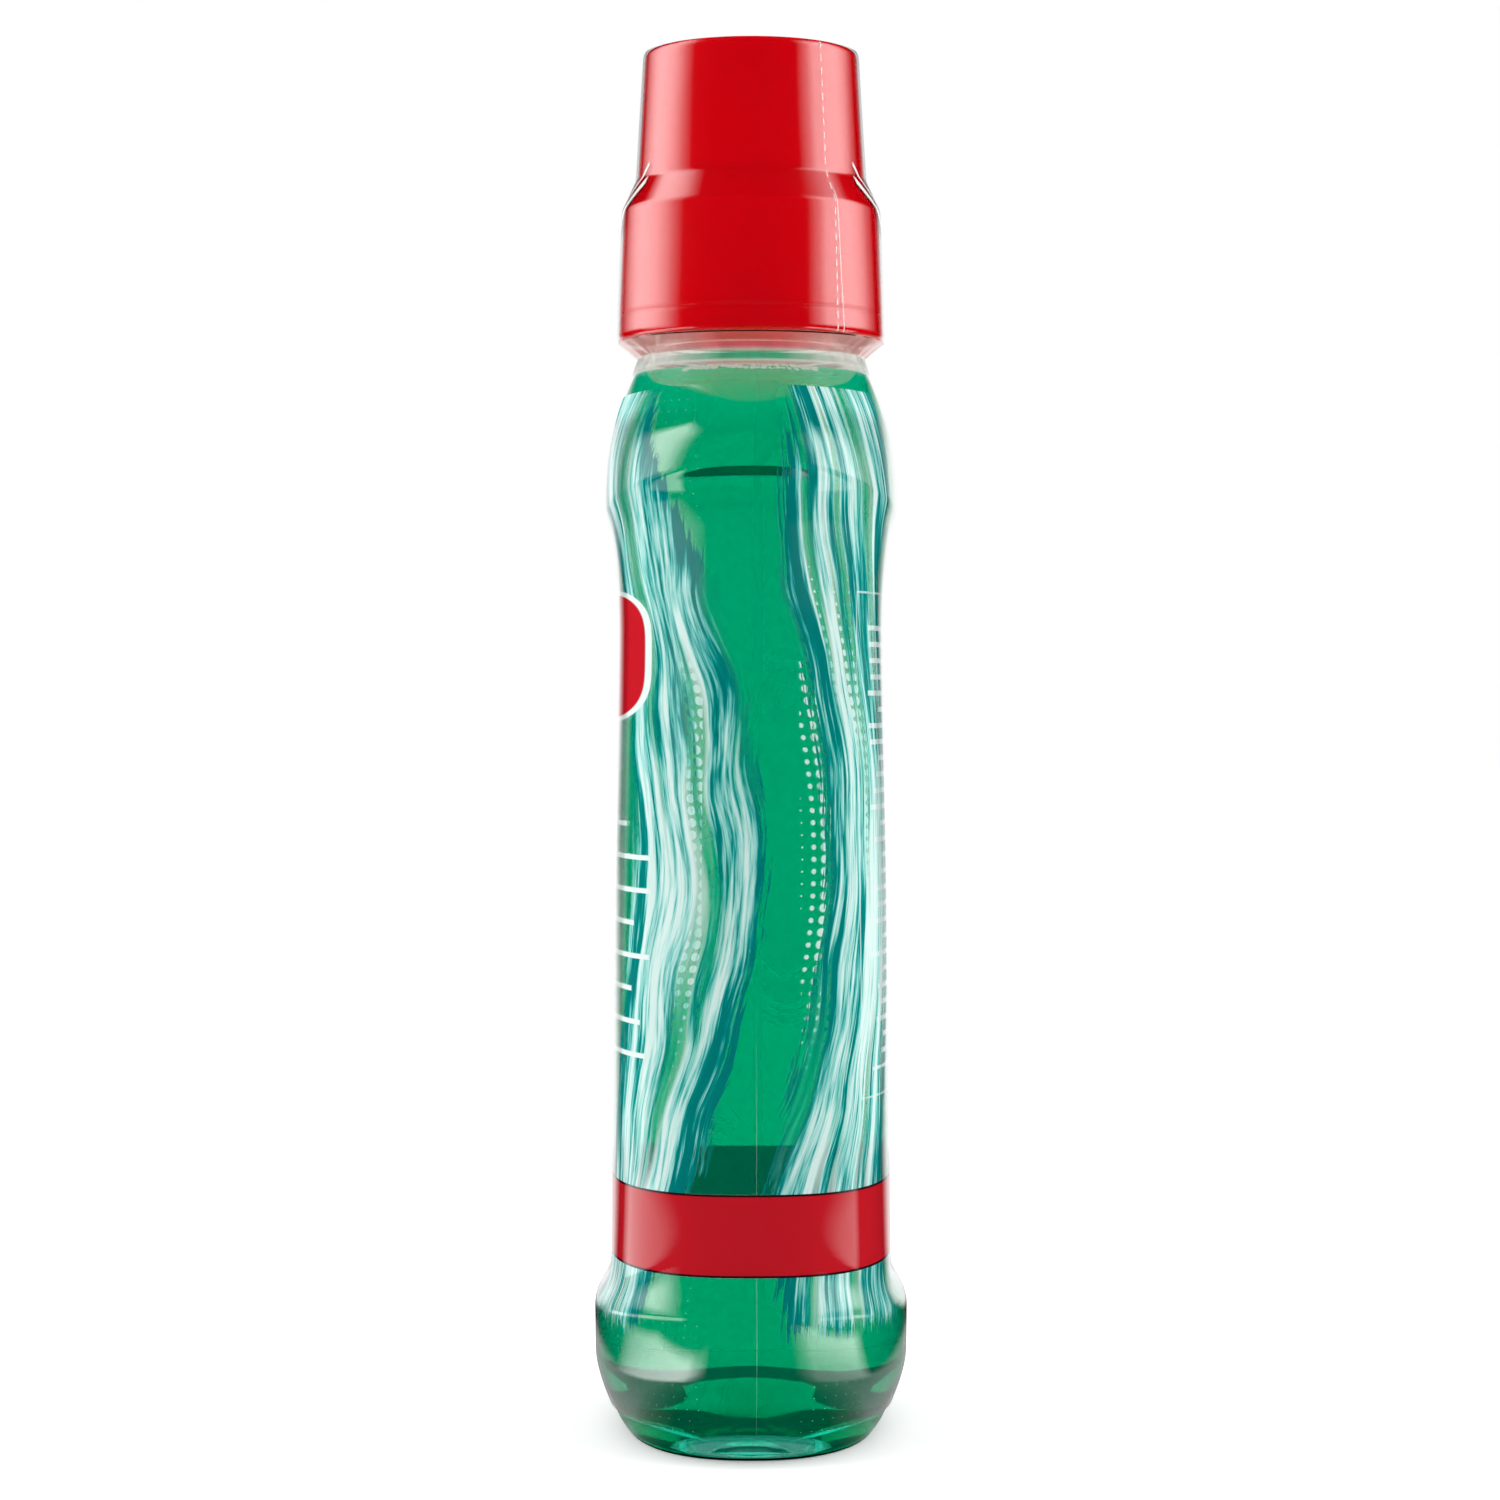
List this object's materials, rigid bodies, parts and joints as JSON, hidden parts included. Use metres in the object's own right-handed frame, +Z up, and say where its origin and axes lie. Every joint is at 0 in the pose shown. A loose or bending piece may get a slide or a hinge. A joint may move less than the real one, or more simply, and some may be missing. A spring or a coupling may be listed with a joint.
{
  "type": "mouthwash bottle",
  "caption": "Oval clear bottle with a recessed waist and bulged base, filled with green liquid, in a clear shrink sleeve, with a stepped red screw-on dosing cap that doubles as a cup.",
  "frame": {"origin": "middle of the foot that the bottle stands on", "axes": "+Z up along the neck's axis, X through the thin way from one broad label face to the other, Y along the broad way, so the narrow sides face -Y and +Y"},
  "size_m": [0.0514, 0.0876, 0.2263],
  "materials": {
    "clear_pet": "clear, glossy",
    "green_mouthwash": "clear green liquid",
    "red_polypropylene": "smooth moulded, glossy",
    "white_foam": "matte foam",
    "printed_film": "clear film, printed pale aqua and teal with a red band",
    "clear_film": "clear, glossy film"
  },
  "bodies": {
    "bottle": {"bottle": "clear_pet", "mouthwash": "green_mouthwash", "body_sleeve": "printed_film"},
    "seal_ring": {"seal_ring": "white_foam"},
    "cap": {"dosing_cap": "red_polypropylene", "cap_sleeve": "clear_film"}
  },
  "joints": [
    {"name": "cap_rise", "type": "slide", "parent": "bottle", "child": "seal_ring", "axis": [0, 0, 1], "range_m": [0, 0.0252]},
    {"name": "cap_turn", "type": "hinge", "parent": "seal_ring", "child": "cap", "pos_m": [0, 0, 0.1784], "axis": [0, 0, 1], "range_deg": [0, 2160]}
  ],
  "couplings": [
    {"joint": "cap_rise", "follows": "cap_turn", "m_per_rad": 0.00066845}
  ]
}
